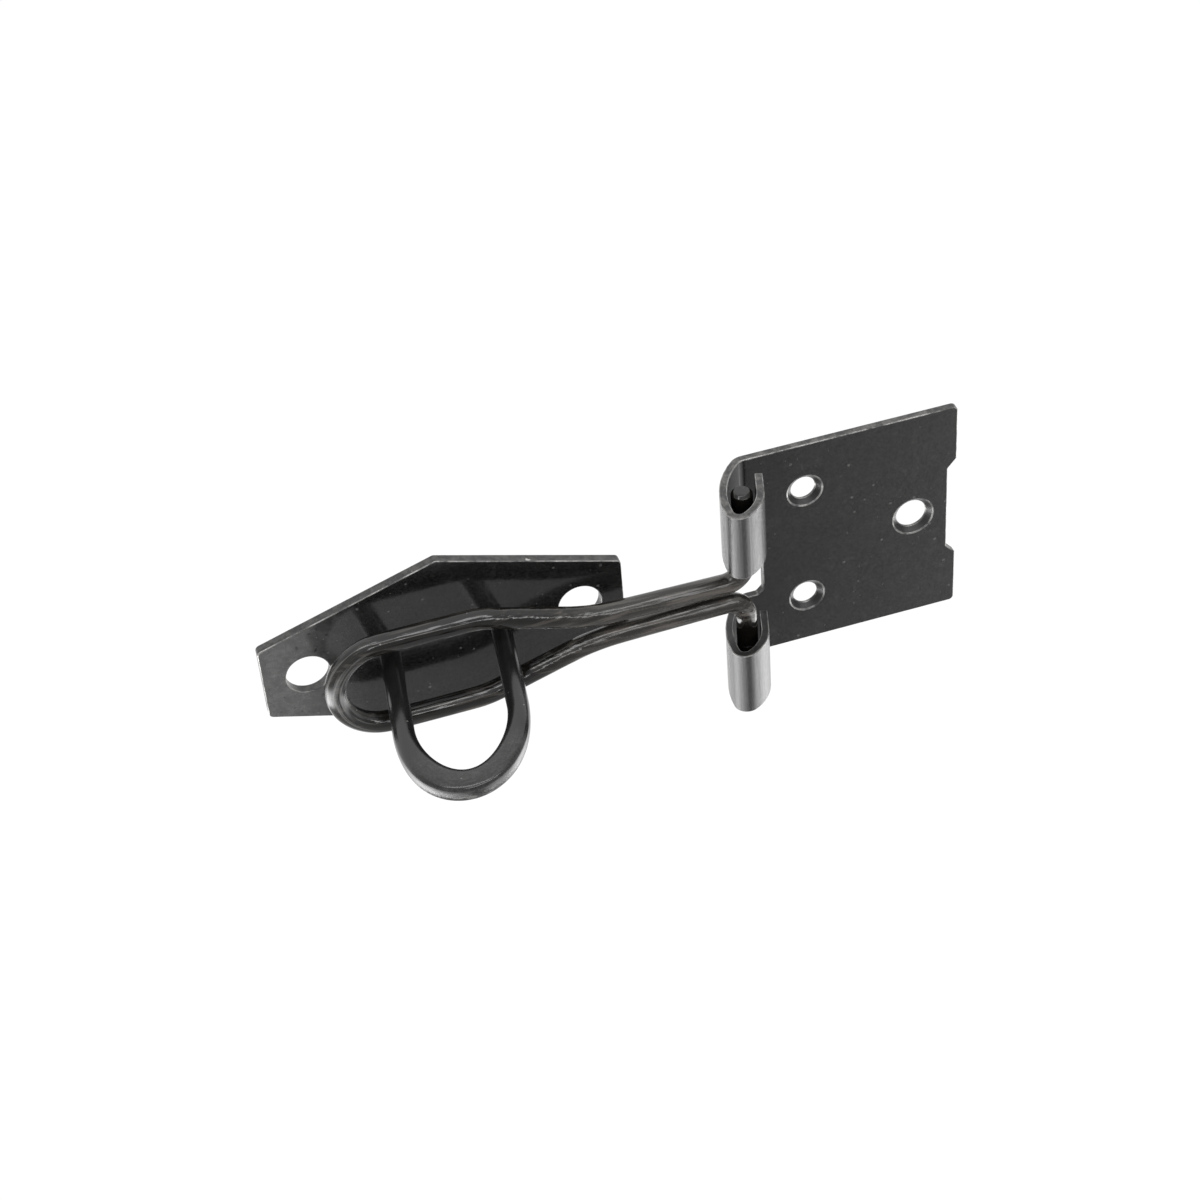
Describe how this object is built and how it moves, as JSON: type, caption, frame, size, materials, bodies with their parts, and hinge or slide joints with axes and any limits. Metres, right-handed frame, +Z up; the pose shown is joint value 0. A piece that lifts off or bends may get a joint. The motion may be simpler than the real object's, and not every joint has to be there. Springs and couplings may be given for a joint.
{
  "type": "wire hasp and staple",
  "caption": "Folding wire hasp on a curled hinge plate, closed over a round-bar staple riveted to its own six-sided plate.",
  "frame": {"origin": "middle of the hinge plate's flat back face, where it lies on the gate", "axes": "+X from the staple toward the hinge plate's far edge, +Y into the gate, +Z up along the hinge axis"},
  "size_m": [0.1349, 0.0425, 0.047],
  "materials": {
    "leaf_coat": "glossy black japanned coat, thinner and brighter along the cut edges",
    "wire_coat": "glossy black coat on round wire",
    "keep_coat": "glossy black japanned coat with small chips at the corners",
    "bar_coat": "glossy black coat, scuffed on the crown of the bow"
  },
  "bodies": {
    "hinge": {"hinge_plate": "leaf_coat"},
    "hasp": {"wire_hasp": "wire_coat"},
    "keeper": {"staple_plate": "keep_coat", "staple": "bar_coat"}
  },
  "joints": [
    {"name": "hasp_swing", "type": "hinge", "parent": "hinge", "child": "hasp", "pos_m": [-0.0257, -0.00925, 0], "axis": [0, 0, 1], "range_deg": [-3.5, 185]},
    {"name": "keeper_leaves", "type": "slide", "parent": "hinge", "child": "keeper", "axis": [0, 1, 0], "range_m": [0, 0.06]}
  ]
}
